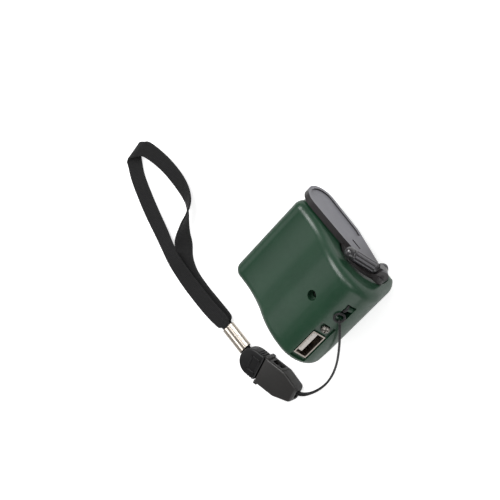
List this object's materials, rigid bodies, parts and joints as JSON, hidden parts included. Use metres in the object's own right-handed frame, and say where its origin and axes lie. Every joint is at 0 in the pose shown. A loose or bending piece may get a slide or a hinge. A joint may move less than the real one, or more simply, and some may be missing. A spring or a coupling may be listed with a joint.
{
  "type": "hand crank phone charger",
  "caption": "Pocket hand generator: a waved two-part shell with a side crank and folding handle, a socket for a charging plug, and a looped wrist lanyard.",
  "frame": {"origin": "centre of the body's flat back", "axes": "+X along the body towards the socket end, +Y out of the crank side along the crank axle, +Z from the flat back up to the waved front"},
  "size_m": [0.1409, 0.0951, 0.038],
  "materials": {
    "body_green": "semi-gloss moulded",
    "arm_grey": "moulded, satin",
    "handle_grey": "moulded, satin",
    "steel": "plated",
    "brass": "bright",
    "gear_white": "moulded acetal",
    "bush_white": "moulded acetal",
    "endcap_plastic": "moulded",
    "magnet": "sintered ferrite",
    "rotor_metal": "laminated and wound",
    "board_green": "laminate with solder mask",
    "port_metal": "bright tinned",
    "tongue_white": "moulded",
    "contact_gold": "plated",
    "capacitor_can": "sleeved can",
    "component_black": "moulded",
    "led_clear": "clear lens",
    "wire_red": "insulation",
    "wire_black": "insulation",
    "cord_black": "braided",
    "strap_black": "woven",
    "buckle_black": "moulded",
    "ferrule_metal": "plated"
  },
  "bodies": {
    "base": {"front_shell": "body_green", "back_shell": "body_green", "housing_screws": "steel", "port_screw": "steel", "port_nut": "steel", "board_screws": "steel", "crank_bush": "bush_white", "first_axle": "steel", "second_axle": "steel", "gear_plate": "steel", "motor_screws": "steel", "generator_can": "steel", "generator_endcap": "endcap_plastic", "generator_magnets": "magnet", "generator_terminals": "brass", "circuit_board": "board_green", "usb_shell": "port_metal", "usb_tongue": "tongue_white", "usb_contacts": "contact_gold", "storage_capacitor": "capacitor_can", "power_inductor": "component_black", "regulator_chip": "component_black", "rectifier_diodes": "component_black", "status_led": "led_clear", "generator_wire_red": "wire_red", "generator_wire_black": "wire_black", "lanyard_cord": "cord_black", "cord_knot": "cord_black", "buckle_socket": "buckle_black", "buckle_plug": "buckle_black", "ferrule": "ferrule_metal", "wrist_strap": "strap_black"},
    "crank": {"crank_arm": "arm_grey", "crank_gear": "gear_white", "crank_screw": "steel", "crank_washer": "steel", "handle_hinge_pin": "steel"},
    "handle": {"handle_core": "handle_grey", "handle_cap": "handle_grey"},
    "grip": {"handle_grip": "handle_grey"},
    "first_gear_pair": {"first_gear": "gear_white"},
    "second_gear_pair": {"second_gear": "gear_white"},
    "rotor": {"generator_rotor": "rotor_metal", "rotor_pinion": "brass"}
  },
  "joints": [
    {"name": "crank_turn", "type": "hinge", "parent": "base", "child": "crank", "pos_m": [-0.0135, 0.0239, 0.0176], "axis": [0, 1, 0], "continuous": true},
    {"name": "handle_fold", "type": "hinge", "parent": "crank", "child": "handle", "pos_m": [0.0188, 0.0276, 0.02], "axis": [-0.6018, 0, -0.7986], "range_deg": [0, 93]},
    {"name": "grip_spin", "type": "hinge", "parent": "handle", "child": "grip", "pos_m": [0.0188, 0.0276, 0.02], "axis": [-0.7984, -0.0262, 0.6016], "continuous": true},
    {"name": "first_gear_turn", "type": "hinge", "parent": "base", "child": "first_gear_pair", "pos_m": [-0.00341, 0.0047, 0.01311], "axis": [0, 1, 0], "continuous": true},
    {"name": "second_gear_turn", "type": "hinge", "parent": "base", "child": "second_gear_pair", "pos_m": [0.00855, 0.0047, 0.01457], "axis": [0, 1, 0], "continuous": true},
    {"name": "rotor_turn", "type": "hinge", "parent": "base", "child": "rotor", "pos_m": [-0.003, 0.0032, 0.018], "axis": [0, 1, 0], "continuous": true}
  ],
  "couplings": [
    {"joint": "first_gear_turn", "follows": "crank_turn", "ratio": -2.6667},
    {"joint": "second_gear_turn", "follows": "crank_turn", "ratio": 8},
    {"joint": "rotor_turn", "follows": "crank_turn", "ratio": -24}
  ]
}
